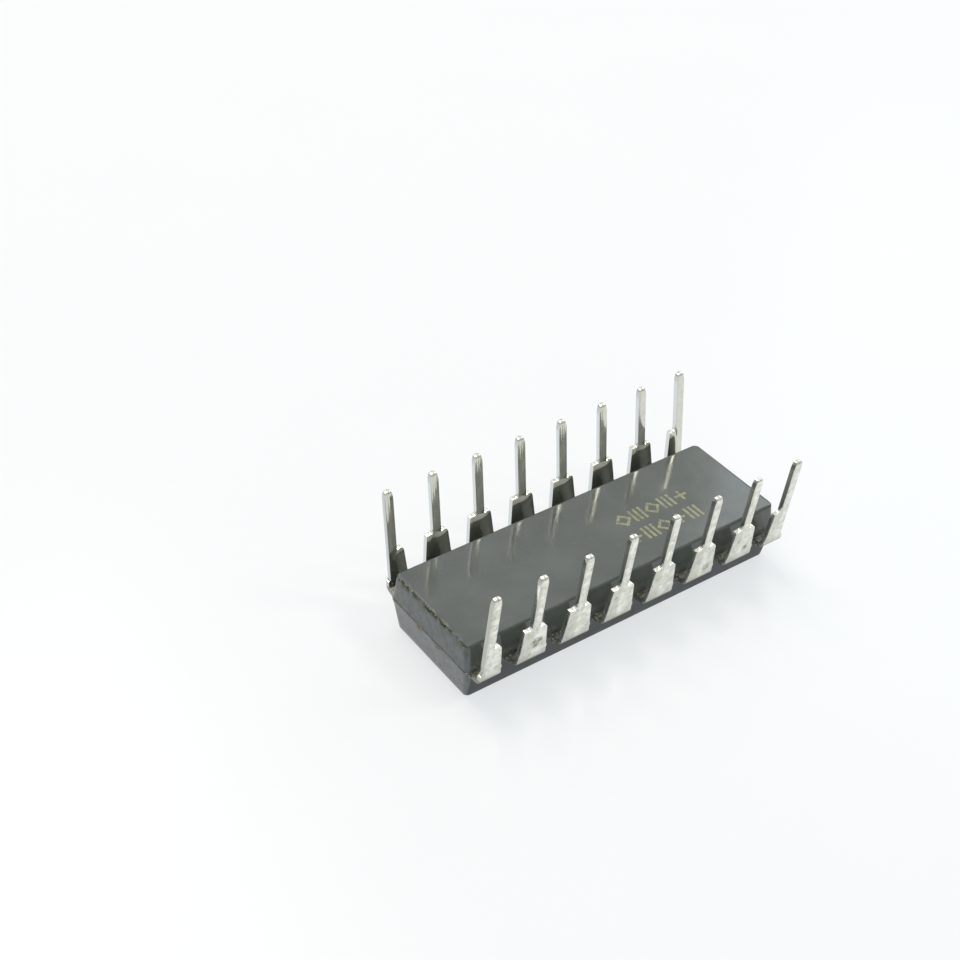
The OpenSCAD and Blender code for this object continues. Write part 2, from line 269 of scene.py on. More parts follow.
DARK_CORNER = Vector((-0.46, 0.60, 0.65)).normalized()
world = bpy.data.worlds.new("world")
world.use_nodes = True
bpy.context.scene.world = world
sky = world.node_tree
around = sky.nodes["Background"]
around.inputs["Color"].default_value = (0.85, 0.93, 1.0, 1.0)
around.inputs["Strength"].default_value = 0.5
backdrop = sky.nodes.new("ShaderNodeBackground")
toward = sky.nodes.new("ShaderNodeVectorMath")
toward.operation = "DOT_PRODUCT"
sky.links.new(sky.nodes.new("ShaderNodeTexCoord").outputs["Generated"], toward.inputs[0])
toward.inputs[1].default_value = DARK_CORNER
corner_fade = sky.nodes.new("ShaderNodeMapRange")
corner_fade.interpolation_type = "SMOOTHSTEP"
for socket, number in zip(corner_fade.inputs[1:5], (0.86, 0.97, 1.0, 0.12)):
    socket.default_value = number
sky.links.new(toward.outputs["Value"], corner_fade.inputs[0])
sky.links.new(corner_fade.outputs[0], backdrop.inputs["Strength"])
backdrop.inputs["Color"].default_value = (1.0, 1.0, 1.0, 1.0)
choice = sky.nodes.new("ShaderNodeMixShader")
sky.links.new(seen_directly(sky), choice.inputs["Fac"])
sky.links.new(around.outputs[0], choice.inputs[1])
sky.links.new(backdrop.outputs[0], choice.inputs[2])
sky.links.new(choice.outputs[0], sky.nodes["World Output"].inputs["Surface"])
print("lamps:", [lamp.name for lamp in (window, side_window, room, small_lamp)])

# %% [markdown]
# Each finished shape becomes an object in the same way: its mesh is written, its smooth faces are
# told from its sharp edges, it takes its material, rides on the part's one body and, where it stands
# for a CAD solid, hides that solid.

# %% From a shape to a piece


def make_piece(shape, name, finish, stands_for=(), crease=35):
    mesh = bpy.data.meshes.new(name)
    shape.to_mesh(mesh)
    shape.free()
    mesh.shade_smooth()
    mesh.set_sharp_from_angle(angle=math.radians(crease))
    mesh.materials.append(finish.material)
    piece = bpy.data.objects.new(name, mesh)
    bpy.context.scene.collection.objects.link(piece)
    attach(piece, "root")
    if stands_for:
        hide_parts(*stands_for)
    return piece


# %% [markdown]
# The body is black epoxy, filled with fine silica and moulded in two halves round the lead frame.
# Freshly moulded it is even and half matt. Handling polishes it, leaves dust in the grain and chips
# the rim of the end, which shows as a pale broken line with a band of olive resin below it. The wear
# is painted where the shape says so: the shape carries a mask for each kind, rim, band and stain, and
# the noise in the material breaks them up finely. A crease mask places a dark line of painted shade
# along the step at the parting line of the end. The left end has a bluish bloom, and the walls below
# the parting line, which face down towards the floor, are painted darker as shade.

# %% Black moulding compound
moulding_finish = Finish("black_moulding_compound")
m = moulding_finish
x, y, z = m.axes()

cloud = m.grain(2.6, 4.0)
filler = m.grain(0.05, 2.0)
speck = m.between(m.grain(0.09, 1.0), 0.70, 0.74)
epoxy = m.blend(m.between(cloud, 0.35, 0.7), paint(79, 84, 81), paint(88, 93, 90))
epoxy = m.blend(m.sum("MULTIPLY", speck, 0.35), epoxy, paint(120, 124, 120))


def mask(name):
    """What the shell's own layer of this name says at a point, from 0 to 1."""
    return m.add("ShaderNodeAttribute", attribute_name=name).outputs["Fac"]


on_end = m.between(x, -9.22 * MM, -9.12 * MM, 1.0, 0.0)
bloom_cloud = m.between(m.grain(0.45, 4.0, rough=0.65), 0.38, 0.62)
bloom = m.blend(bloom_cloud, paint(70, 76, 70), paint(92, 99, 104))
# Painted shade: below the parting line the walls face down towards the floor, and their colour is made
# darker there; the end and the marked face are left out.
below_parting = m.between(z, 1.60 * MM, 1.68 * MM, 1.0, 0.0)
above_floor = m.between(z, 0.02 * MM, 0.1 * MM)
shaded_low_half = m.sum("MULTIPLY", below_parting, above_floor)
shaded_low_half = m.sum("MULTIPLY", shaded_low_half, m.sum("SUBTRACT", 1.0, on_end))
epoxy = m.blend(m.sum("MULTIPLY", shaded_low_half, 0.85), epoxy, paint(48, 54, 58))
epoxy = m.blend(m.sum("MULTIPLY", on_end, 0.75), epoxy, bloom)

rim_mask = mask("rim_wear")
broken = m.grain(0.10, 3.0, rough=0.7)
clumps = m.between(m.grain(0.3, 2.0), 0.42, 0.52)
rim_wear = m.between(m.sum("MULTIPLY", m.sum("MULTIPLY", rim_mask, broken), clumps), 0.34, 0.44)
band_wear = m.between(m.sum("MULTIPLY", mask("band_wear"), m.grain(0.11, 2.0)), 0.30, 0.40)
# Painted shade: a dark line along the wavy crease at the end, where the step shades it.
painted_crease_shade = m.sum("MULTIPLY", mask("crease"), m.between(m.grain(0.32, 2.0), 0.42, 0.56))
corner_stain = m.sum("MULTIPLY", mask("stain"), m.between(m.grain(0.25, 4.0), 0.36, 0.60))
dark_olive = m.blend(m.between(m.grain(0.06, 2.0), 0.4, 0.6), paint(36, 38, 27), paint(92, 96, 66))
epoxy = m.blend(m.sum("MULTIPLY", corner_stain, 0.6), epoxy, paint(112, 116, 98))
epoxy = m.blend(m.sum("MULTIPLY", painted_crease_shade, 0.85), epoxy, paint(34, 36, 34))
epoxy = m.blend(band_wear, epoxy, dark_olive)
epoxy = m.blend(rim_wear, epoxy, paint(138, 141, 114))
print("moulding grain made, nodes so far:", len(m.tree.nodes))

# %% [markdown]
# The lead side carries two short rows of stamped ink, an olive yellow that has half worn off. Here
# they are plain marks: diamonds, triple strokes and crosses. They could be cut as thin shapes, but ink
# has no height to speak of, so the material draws them from distances: a bar is where both distances
# from its middle are small, and a diamond is where their sum is the same all round.

# %% Worn ink marks
INK_GRAIN = 0.16
SHIFT = 20
STROKE = 0.15
MARK_HIGH = 0.9
MARK_STEP = 0.92
FENCE_STEP = 0.30


def bar(m, x, y, middle, size):
    across = m.sum("ABSOLUTE", m.sum("SUBTRACT", x, middle[0] * MM))
    along = m.sum("ABSOLUTE", m.sum("SUBTRACT", y, middle[1] * MM))
    wide = m.sum("LESS_THAN", across, size[0] / 2 * MM)
    high = m.sum("LESS_THAN", along, size[1] / 2 * MM)
    return m.sum("MULTIPLY", wide, high)


def diamond_mark(m, x, y, middle):
    """A diamond drawn as an outline."""
    across = m.sum("ABSOLUTE", m.sum("SUBTRACT", x, middle[0] * MM))
    along = m.sum("ABSOLUTE", m.sum("SUBTRACT", y, middle[1] * MM))
    off = m.sum("SUBTRACT", m.sum("ADD", across, along), (MARK_HIGH / 2 - STROKE / 2) * MM)
    return m.sum("LESS_THAN", m.sum("ABSOLUTE", off), STROKE * 0.7 * MM)


def fence_mark(m, x, y, middle):
    """Three upright strokes side by side. The shift keeps the distance above zero."""
    shifted = m.sum("ADD", x, (SHIFT * FENCE_STEP - middle[0] + STROKE / 2) * MM)
    inside = bar(m, x, y, middle, (2 * FENCE_STEP + STROKE, MARK_HIGH))
    stroke = m.sum("LESS_THAN", m.sum("MODULO", shifted, FENCE_STEP * MM), STROKE * MM)
    return m.sum("MULTIPLY", inside, stroke)


def cross_mark(m, x, y, middle):
    level = bar(m, x, y, middle, (MARK_HIGH * 0.8, STROKE))
    return m.sum("MAXIMUM", level, bar(m, x, y, middle, (STROKE, MARK_HIGH * 0.8)))


MARK_ROWS = (
    (0.15, 2.2, (diamond_mark, fence_mark, diamond_mark, fence_mark, cross_mark)),
    (-1.2, 1.9, (cross_mark, fence_mark, diamond_mark, cross_mark, fence_mark)),
)
stamped = 0.0
for row_middle, first_middle, row in MARK_ROWS:
    for place_in_row, draw in enumerate(row):
        middle = (first_middle + MARK_STEP * place_in_row, row_middle)
        stamped = m.sum("MAXIMUM", stamped, draw(m, x, y, middle))
LEAD_FACE = 3.28
on_lead_face = m.sum("GREATER_THAN", z, (LEAD_FACE - 0.02) * MM)
stamped = m.sum("MULTIPLY", stamped, on_lead_face)
ink_left = m.between(m.grain(INK_GRAIN, 3.0, rough=0.65), 0.36, 0.56, 0.3, 0.95)
stamped = m.sum("MULTIPLY", stamped, ink_left)
epoxy = m.blend(stamped, epoxy, paint(140, 140, 104))
print("ink marks:", sum(len(row) for _, _, row in MARK_ROWS))

# %% [markdown]
# Gloss makes the difference between plastic and soot. The face is smoothest where it was pressed to
# the polished mould and duller where it is worn or inked and along its rolled rims, so roughness
# follows the same masks as the colour. The grain of the filler gives a very shallow relief.

# %% Gloss and grain of the moulding compound
rough = m.between(m.grain(0.8, 4.0), 0.3, 0.75, 0.08, 0.15)
worn = m.sum("MULTIPLY", shaded_low_half, 0.5)
for dull in (rim_mask, band_wear, painted_crease_shade, mask("rim_roll")):
    worn = m.sum("MAXIMUM", worn, dull)
rough = m.sum("ADD", rough, m.sum("MULTIPLY", worn, 0.6))
rough = m.sum("ADD", rough, m.sum("MULTIPLY", stamped, 0.15), clamp=True)
gloss = m.sum("SUBTRACT", 0.5, m.sum("MULTIPLY", worn, 0.4), clamp=True)
m.set(Base_Color=epoxy, Roughness=rough, Specular_IOR_Level=gloss, IOR=1.55)
relief = m.sum("ADD", m.sum("MULTIPLY", filler, 0.15), m.sum("MULTIPLY", broken, worn))
m.relief(relief, 0.004, 0.5)
print("moulding nodes:", len(m.tree.nodes))

# %% [markdown]
# The body has two drafted halves that meet at the parting line, rounded upright corners and slightly
# rolled rims. One box with bevels would give the outline, but not enough points for wear to shape. So
# the outline is drawn once at the parting line with its corners beveled, cut into short steps, shrunk
# to the size of the marked face, and then extruded ring by ring up to the lead side.

# %% Outline of the body
PARTING = 1.66
HALF_LENGTH = 9.45
HALF_WIDTH = 3.175
CORNER = 0.28
RIM = 0.07
END_DRAFT = (6.5, 3.1)
SIDE_DRAFT = (9.8, 7.6)


def half_size(level):
    """Half length and half width of the body at a height, both in mm."""
    upper = level > PARTING
    away = abs(level - PARTING)
    reach = LEAD_FACE - PARTING if upper else PARTING
    past_rim = max(0.0, away - (reach - RIM))
    roll = RIM - math.sqrt(max(0.0, RIM**2 - past_rim**2))
    length = HALF_LENGTH - away * math.tan(math.radians(END_DRAFT[upper])) - roll
    width = HALF_WIDTH - away * math.tan(math.radians(SIDE_DRAFT[upper])) - roll
    return length, width


STEP_ALONG = 0.16
STEP_ACROSS = 0.08
shell = bmesh.new()
bmesh.ops.create_grid(shell, x_segments=1, y_segments=1, size=1.0)
bmesh.ops.scale(shell, vec=(HALF_LENGTH, HALF_WIDTH, 1), verts=shell.verts)
bmesh.ops.bevel(
    shell,
    geom=list(shell.verts),
    offset=CORNER,
    segments=8,
    profile=0.5,
    affect="VERTICES",
    material=-1,
)
long_edges = [e for e in shell.edges if e.calc_length() > 1]
sides = [e for e in long_edges if abs(e.verts[0].co.y - e.verts[1].co.y) < 1]
ends = [e for e in long_edges if e not in sides]
bmesh.ops.subdivide_edges(shell, edges=sides, cuts=int(2 * HALF_LENGTH / STEP_ALONG))
bmesh.ops.subdivide_edges(shell, edges=ends, cuts=int(2 * HALF_WIDTH / STEP_ACROSS))
bmesh.ops.dissolve_faces(shell, faces=list(shell.faces), use_verts=False)
print("points round the body:", len(shell.verts), "faces:", len(shell.faces))

# %% Rings from the marked face to the lead side
RIM_TURNS = (90, 67.5, 45, 22.5)
rim_levels = [RIM * (1 - math.sin(math.radians(turn))) for turn in RIM_TURNS]
CREASE = 1.785
crease_levels = [CREASE - 0.05, CREASE - 0.02, CREASE, CREASE + 0.02, CREASE + 0.05]
wall_levels = [RIM, 0.4, 0.8, 1.2, 1.5, 1.62, PARTING, *crease_levels, 1.9, 2.1, 2.4, 2.7]
fine_levels = [2.9, 3.0, 3.06, 3.11, 3.16, LEAD_FACE - RIM]
levels = rim_levels + wall_levels + fine_levels
levels += [LEAD_FACE - level for level in reversed(rim_levels)]

current = (HALF_LENGTH, HALF_WIDTH)
first_length, first_width = half_size(levels[0])
bmesh.ops.scale(
    shell, vec=(first_length / current[0], first_width / current[1], 1), verts=shell.verts
)
current = (first_length, first_width)
start_face = list(shell.faces)[0]
if start_face.normal.z > 0:
    start_face.normal_flip()
cap = bmesh.ops.duplicate(shell, geom=[start_face])["geom"]
rising = [f for f in cap if isinstance(f, bmesh.types.BMFace)]
for below, level in zip(levels, levels[1:]):
    grown = bmesh.ops.extrude_face_region(shell, geom=rising)["geom"]
    bmesh.ops.delete(shell, geom=[f for f in rising if f.is_valid], context="FACES_ONLY")
    rising = [f for f in grown if isinstance(f, bmesh.types.BMFace)]
    ring_points = [v for v in grown if isinstance(v, bmesh.types.BMVert)]
    length, width = half_size(level)
    growth = (length / current[0], width / current[1], 1)
    bmesh.ops.scale(shell, vec=growth, verts=ring_points)
    bmesh.ops.translate(shell, vec=(0, 0, level - below), verts=ring_points)
    current = (length, width)
for _ in range(3):
    bmesh.ops.inset_region(shell, faces=rising, thickness=0.06, use_even_offset=True)
bmesh.ops.remove_doubles(shell, verts=shell.verts, dist=0.0001)
bmesh.ops.recalc_face_normals(shell, faces=shell.faces)
open_edges = sum(e.is_boundary for e in shell.edges)
print("rings:", len(levels), "points:", len(shell.verts), "open edges:", open_edges)

# %% [markdown]
# Two things disturb the clean form. The rim of the left end is chipped, and a thin line of flash
# stands along the parting line, wavy where the mould halves have worn. Sculpting would do for one
# picture, but moving points by a noise gives the same result on every run.

# %% Chipped end and wavy parting line


def ripple(point, size, seed):
    """Noise about between -1 and 1, with blobs of this size in mm."""
    return noise.noise(point / size + Vector((seed, seed * 0.7, seed * 1.3)))


def within(distance, reach):
    """One at no distance, and falling to zero at the end of the reach."""
    return max(0.0, 1 - abs(distance) / reach)


def worn_along(y):
    """How far the rim has broken at this place: some stretches whole, others gone."""
    stretch = min(1, max(0.6, 0.85 + 2.0 * ripple(Vector((0, y, 0)), 0.6, 3)))
    return stretch * within(y + 0.1, 3.1) ** 0.2


def crease_height(x, y):
    return CREASE + 0.05 * ripple(Vector((x, y, 0)), 1.5, 5)


rim_line = half_size(LEAD_FACE - RIM)[0]
BULGE = Vector((-9.30, 3.05, 1.86))
moved = 0
for point in shell.verts:
    spot = point.co.copy()
    near_rim = within(min(0, LEAD_FACE - 0.1 - spot.z), 0.2)
    near_rim *= within(max(0, spot.x + rim_line), 0.16)
    near_rim *= within(min(0, spot.z - 3.12), 0.14)
    if near_rim > 0:
        chip = worn_along(spot.y) * max(0.0, 0.55 + 1.3 * ripple(spot, 0.17, 8))
        point.co.z -= 0.05 * chip * near_rim
        point.co.x += 0.06 * chip * near_rim
        moved += 1
    at_crease = within(spot.z - CREASE, 0.2)
    if at_crease > 0:
        outwards = Vector((spot.x, spot.y * 3, 0)).normalized()
        point.co.z += (crease_height(spot.x, spot.y) - CREASE) * at_crease
        point.co -= outwards * 0.02 * within(spot.z - CREASE, 0.02)
        point.co += outwards * 0.02 * max(0, ripple(spot, 0.35, 6)) * at_crease
        point.co += outwards * 0.06 * within((spot - BULGE).length, 0.45)
        moved += 1
bmesh.ops.scale(shell, vec=(MM, MM, MM), verts=shell.verts)
print("points moved:", moved)

# %% [markdown]
# The marked face, on which the chip lies, has a half-round notch at the end of pin one and the shallow
# round print of an ejector pin. A drill is the natural tool for both, and the Boolean modifier is
# Blender's drill: two plain cylinders are taken out of the shell, and the result is kept as its mesh.

# %% Cut the notch and the ejector print
NOTCH_RADIUS = 0.8
NOTCH_DEPTH = 0.6
EJECTOR_RADIUS = 0.65
EJECTOR_DEPTH = 0.06
PAST = 1.0
notch_middle = HALF_LENGTH - PARTING * math.tan(math.radians(END_DRAFT[0]))
drill = bmesh.new()
for middle, radius, depth in (
    (notch_middle, NOTCH_RADIUS, NOTCH_DEPTH),
    (-HALF_LENGTH / 2, EJECTOR_RADIUS, EJECTOR_DEPTH),
):
    place = Matrix.Translation(Vector((middle, 0, (depth - PAST) / 2)) * MM)
    bmesh.ops.create_cone(
        drill,
        cap_ends=True,
        segments=64,
        radius1=radius * MM,
        radius2=radius * MM,
        depth=(depth + PAST) * MM,
        matrix=place,
    )
drill_mesh = bpy.data.meshes.new("drill")
drill.to_mesh(drill_mesh)
drill.free()
drill_object = bpy.data.objects.new("drill", drill_mesh)
bpy.context.scene.collection.objects.link(drill_object)

shell_mesh = bpy.data.meshes.new("shell")
shell.to_mesh(shell_mesh)
shell.free()
shell_object = bpy.data.objects.new("shell", shell_mesh)
bpy.context.scene.collection.objects.link(shell_object)
cut = shell_object.modifiers.new("cut", "BOOLEAN")
cut.operation = "DIFFERENCE"
cut.solver = "EXACT"
cut.object = drill_object
bpy.context.view_layer.update()
evaluated = shell_object.evaluated_get(bpy.context.evaluated_depsgraph_get())
drilled = bmesh.new()
drilled.from_mesh(evaluated.to_mesh())
evaluated.to_mesh_clear()
bpy.data.objects.remove(shell_object)
bpy.data.objects.remove(drill_object)
print("points after drilling:", len(drilled.verts))

# %% Masks for wear and painted shade, and the finished body
rim_layer = drilled.verts.layers.float.new("rim_wear")
band_layer = drilled.verts.layers.float.new("band_wear")
crease_layer = drilled.verts.layers.float.new("crease")
stain_layer = drilled.verts.layers.float.new("stain")
roll_layer = drilled.verts.layers.float.new("rim_roll")
flat_half_length, flat_half_width = half_size(LEAD_FACE)
STAIN = Vector((-9.4, 2.7, 2.05))
for point in drilled.verts:
    spot = point.co / MM
    off_crest = Vector((spot.x + rim_line - 0.03, spot.z - LEAD_FACE))
    point[rim_layer] = within(off_crest.length, 0.14)
    in_band = min(1, 2.4 * within(spot.z - 3.17, 0.14)) * (spot.x < -9.25)
    point[band_layer] = in_band * worn_along(spot.y)
    # The crease mask says where the painted shade along the step lies.
    off_crease = spot.z - crease_height(spot.x, spot.y)
    point[crease_layer] = within(off_crease, 0.035) * (spot.x < -9.0)
    point[stain_layer] = min(1, 1.6 * within((spot - STAIN).length, 0.75))
    off_flat = abs(spot.x) > flat_half_length - 0.01 or abs(spot.y) > flat_half_width - 0.01
    point[roll_layer] = float(off_flat and spot.z > LEAD_FACE - RIM - 0.01)
moulding = make_piece(drilled, "moulding", moulding_finish, ["body"])
print("moulding faces:", len(moulding.data.polygons))

# %% [markdown]
# The leads are stamped from thin strip, bent and dipped in tin. Tin on old stock is bright in places
# and grey in others: stains and smudges hold dirt, and the dip leaves soft mottling. Light is painted
# in as well: the sides are a painted reflection, near white, darker towards the tips and on the first
# lead, and cooler on the back row. Painted shade darkens the left half of each pin, the part near the
# body, the underside of the bend and the neck of the tip, and a dark line runs down the tip's middle.
# All leads share one material. What repeats on each of them is drawn from the distance to the middle
# of its pin, which is the same for all when it is counted modulo the pitch. A few leads have a smudge
# of their own, drawn as a ragged ball round a named point.

# %% Dull bright tin
PITCH = 2.54
PITCHES_ASIDE = 20
SMUDGES = (
    ((-6.2, -3.9, 2.8), 0.9),
    ((4.1, -3.84, 2.4), 0.6),
    ((6.62, -3.85, 2.5), 0.55),
)
tin_finish = Finish("old_bright_tin")
m = tin_finish
x, y, z = m.axes()
share = m.sum("FRACT", m.sum("ADD", m.sum("DIVIDE", x, PITCH * MM), PITCHES_ASIDE))
off_middle = m.sum("MULTIPLY", m.sum("SUBTRACT", share, 0.5), PITCH)

mottle = m.grain(0.35, 4.0, rough=0.6)
fine = m.grain(0.06, 2.0)
drawn = m.grain(0.05, 2.0, m.stretched(1.0, 1.0, 0.08))
tin = m.blend(m.between(mottle, 0.35, 0.68), paint(206, 208, 196), paint(236, 237, 230))
stain = m.between(m.grain(0.28, 4.0, rough=0.7), 0.56, 0.70)
# Painted shade: the left half of each pin and the part near the body are darkened, mixed with the real
# stains.
left_half_shade = m.between(off_middle, -0.22, -0.02, 0.22, 0.0)
shade_near_body = m.between(z, 1.7 * MM, 2.4 * MM, 0.3, 0.0)
dirt_and_shade = m.sum("ADD", m.sum("MULTIPLY", stain, 0.5), m.sum("ADD", left_half_shade, shade_near_body))
dirt_and_shade = m.sum("MULTIPLY", dirt_and_shade, m.between(mottle, 0.3, 0.65, 0.4, 1.0), clamp=True)
facing = m.add("ShaderNodeSeparateXYZ")
m.plug(m.add("ShaderNodeNewGeometry").outputs["Normal"], facing.inputs[0])
on_side = m.between(m.sum("ABSOLUTE", facing.outputs["X"]), 0.6, 0.8)
# Painted shade on faces that look down and on the strip by the body.
underside_shade = m.between(facing.outputs["Z"], -0.55, -0.25, 0.8, 0.0)
underside_shade = m.sum("MAXIMUM", underside_shade, m.between(z, 1.78 * MM, 1.95 * MM, 0.7, 0.0))
smudge = 0.0
for smudge_place, reach in SMUDGES:
    off = m.add("ShaderNodeVectorMath", operation="DISTANCE")
    m.plug(m.place, off.inputs[0])
    off.inputs[1].default_value = Vector(smudge_place) * MM
    near = m.between(off.outputs["Value"], 0.0, reach * MM, 1.0, 0.0)
    smudge = m.sum("MAXIMUM", smudge, near)
ragged = m.sum("MULTIPLY", smudge, m.grain(0.22, 4.0, rough=0.7))
smudge = m.between(ragged, 0.24, 0.50, 0.0, 0.75)
row = m.sum("SIGN", y)
inner = m.between(m.sum("MULTIPLY", facing.outputs["Y"], row), -0.8, -0.5, 0.7, 0.0)
# A dark line down the middle of the tip, and painted shade in a band at its neck below the bright
# facet.
at_tip = m.between(z, 7.0 * MM, 7.06 * MM)
tip_middle_line = m.sum("MULTIPLY", m.sum("LESS_THAN", m.sum("ABSOLUTE", off_middle), 0.014), at_tip)
above_neck = m.between(z, 7.10 * MM, 7.12 * MM, 1.0, 0.0)
neck = m.sum("MULTIPLY", m.between(z, 7.02 * MM, 7.05 * MM), above_neck)
tip_line_and_shade = m.sum("ADD", m.sum("MULTIPLY", tip_middle_line, 0.6), m.sum("MULTIPLY", neck, 0.45))
dirt_and_shade = m.sum("MULTIPLY", dirt_and_shade, m.sum("SUBTRACT", 1.0, m.sum("MAXIMUM", on_side, inner)))
dirt_and_shade = m.sum("MAXIMUM", dirt_and_shade, m.sum("MAXIMUM", underside_shade, smudge))
dirt_and_shade = m.sum("ADD", dirt_and_shade, tip_line_and_shade, clamp=True)
# Painted reflection: the side faces are coloured near white, as if mirroring the bright floor, and
# darker towards the tips. The first lead's sides get painted shade, and the back row a cooler, darker
# painted reflection.
side_reflection = m.blend(m.between(z, 6.5 * MM, 6.95 * MM), paint(246, 247, 244), paint(178, 180, 174))
first_lead_shade = m.between(x, -8.9 * MM, -8.6 * MM, 1.0, 0.0)
side_reflection = m.blend(first_lead_shade, side_reflection, paint(186, 189, 180))
back_row_reflection = m.sum("GREATER_THAN", y, 0.0)
side_reflection = m.blend(m.sum("MULTIPLY", back_row_reflection, 0.7), side_reflection, paint(206, 212, 214))
tin = m.blend(on_side, tin, side_reflection)
tin = m.blend(inner, tin, paint(210, 210, 198))
tin = m.blend(dirt_and_shade, tin, paint(112, 108, 90))
rough = m.sum("ADD", m.between(mottle, 0.3, 0.7, 0.12, 0.22), m.sum("MULTIPLY", dirt_and_shade, 0.25))
rough = m.sum("MULTIPLY", rough, m.sum("SUBTRACT", 1.0, m.sum("MULTIPLY", inner, 0.5)), clamp=True)
m.set(Base_Color=tin, Metallic=1.0, Roughness=rough)
waves = m.sum("ADD", m.sum("MULTIPLY", drawn, 0.4), m.sum("MULTIPLY", fine, 0.25))
m.relief(m.sum("ADD", m.sum("MULTIPLY", mottle, 0.6), waves), 0.006, 0.4)
print("tin nodes:", len(m.tree.nodes))

# %% [markdown]
# Each lead already has its whole form in the CAD: finger, bend, shoulder, pin and point. Only its
# edges are too perfect and its tip too fine. A copy of its mesh is merged, because the CAD hands over
# loose triangles, its flat faces are joined, and a small bevel rounds every sharp edge outside the
# body. The tip is made a little wider and thicker, with a low roof. Where the bar that once joined
# the leads was sheared off, the right edge swells into a small burr.

# %% Leads
LEADS = 16
EDGE_ROLL = 0.018
BURR_LEVELS = (2.12, 2.3, 2.5)
BURR = 0.05
TIP = max(v.co.z for v in frame["nodes"]["lead_01"].data.vertices) / MM
TAPER = 0.42
PIN_HALF = 0.23
CAD_TIP_HALF = 0.10
TIP_HALF = 0.165
TIP_THICKER = 1.7
TIP_ROOF = 0.045
root_edges = {}


def tinned_lead(number):
    name = f"lead_{number:02d}"
    lead = bmesh.new()
    lead.from_mesh(frame["nodes"][name].data)
    bmesh.ops.remove_doubles(lead, verts=lead.verts, dist=0.0005 * MM)
    bmesh.ops.dissolve_limit(
        lead, angle_limit=math.radians(1), verts=lead.verts, edges=lead.edges
    )
    for level in BURR_LEVELS:
        everything = list(lead.verts) + list(lead.edges) + list(lead.faces)
        bmesh.ops.bisect_plane(
            lead, geom=everything, dist=0.0001 * MM, plane_co=(0, 0, level * MM), plane_no=(0, 0, 1)
        )
    tip_points = [v for v in lead.verts if v.co.z > (TIP - 0.1) * MM]
    middle = sum(v.co.x for v in tip_points) / len(tip_points) / MM
    tip_middle = sum(v.co.y for v in tip_points) / len(tip_points)
    for point in lead.verts:
        on_burr = abs(point.co.z / MM - BURR_LEVELS[1]) < 0.01
        if on_burr and point.co.x / MM > middle + 0.6:
            point.co.x += BURR * MM
        up_taper = (point.co.z / MM - (TIP - TAPER)) / TAPER
        if up_taper > -0.01:
            cad_half = PIN_HALF - (PIN_HALF - CAD_TIP_HALF) * up_taper
            true_half = PIN_HALF - (PIN_HALF - TIP_HALF) * up_taper
            point.co.x = middle * MM + (point.co.x - middle * MM) * true_half / cad_half
    for point in tip_points:
        point.co.y = tip_middle + (point.co.y - tip_middle) * TIP_THICKER
    end_face = [f for f in lead.faces if all(v in tip_points for v in f.verts)]
    cut = end_face + list({e for f in end_face for e in f.edges}) + tip_points
    bmesh.ops.bisect_plane(
        lead, geom=cut, dist=0.0001 * MM, plane_co=(middle * MM, 0, 0), plane_no=(1, 0, 0)
    )
    for point in tip_points:
        point.co.z -= TIP_ROOF * MM
    low = [v for v in lead.verts if v.co.z < 1.8 * MM]
    root = [v.co.x / MM for v in low if 3.2 < abs(v.co.y) / MM < 3.9]
    root_edges[number] = (min(root), max(root), middle)
    outside = [
        e
        for e in lead.edges
        if e.is_manifold
        and e.calc_face_angle() > math.radians(30)
        and min(abs(v.co.y) for v in e.verts) > (HALF_WIDTH - 0.02) * MM
    ]
    bmesh.ops.bevel(
        lead,
        geom=outside,
        offset=EDGE_ROLL * MM,
        segments=2,
        profile=0.5,
        affect="EDGES",
        material=-1,
        clamp_overlap=True,
    )
    return make_piece(lead, f"tinned_{name}", tin_finish, [name])


leads = [tinned_lead(number) for number in range(1, LEADS + 1)]
print("lead faces:", len(leads[0].data.polygons), "tip height in mm:", round(TIP, 2))
print("strip edges at the roots:", {n: [round(v, 2) for v in e] for n, e in root_edges.items()})

# %% [markdown]
# While the resin is injected, a bar between the leads dams it. When the bar is cut away later, a ragged
# block of resin stays on each side of a lead's root, thinner than the strip, and crumbs of it sit on
# the lead. The blocks start as plain boxes cut into small squares and the crumbs as small balls. A
# noise then moves their points in and out, which no two pieces share, yet every run repeats it.

# %% Resin left at the roots
resin_finish = Finish("olive_resin_flash")
m = resin_finish
olive = m.between(m.grain(0.12, 3.0), 0.40, 0.65)
resin = m.blend(olive, paint(82, 88, 82), paint(150, 153, 136))
resin_rough = m.between(m.grain(0.2), 0.3, 0.7, 0.5, 0.7)
m.set(Base_Color=resin, Roughness=resin_rough, Specular_IOR_Level=0.3)
m.relief(m.grain(0.06, 3.0), 0.01, 0.6)

WALL = 3.10
STRIP_MIDDLE = 1.66
BLOCK_HIGH = 0.15
left_over = bmesh.new()
for number, (left, right, _) in root_edges.items():
    row_side = -1 if number <= LEADS // 2 else 1
    for edge, out in ((left, -1), (right, 1)):
        change = noise.noise(Vector((edge, row_side * 2.3, 0.4)))
        deep = 0.32 + 0.16 * change
        wide = 0.11 + 0.06 * change
        if abs(edge) > 9.2:
            deep = deep * 0.6
        middle_spot = Vector((edge + out * wide / 2, row_side * (WALL + deep / 2), STRIP_MIDDLE))
        size = Matrix.Diagonal((wide, deep, BLOCK_HIGH, 1))
        bmesh.ops.create_cube(left_over, size=1.0, matrix=Matrix.Translation(middle_spot) @ size)
bmesh.ops.subdivide_edges(left_over, edges=list(left_over.edges), cuts=3, use_grid_fill=True)
for point in left_over.verts:
    bump = ripple(point.co, 0.13, 4)
    point.co += Vector((0.05, 0.09, 0.04)) * bump
block_points = len(left_over.verts)

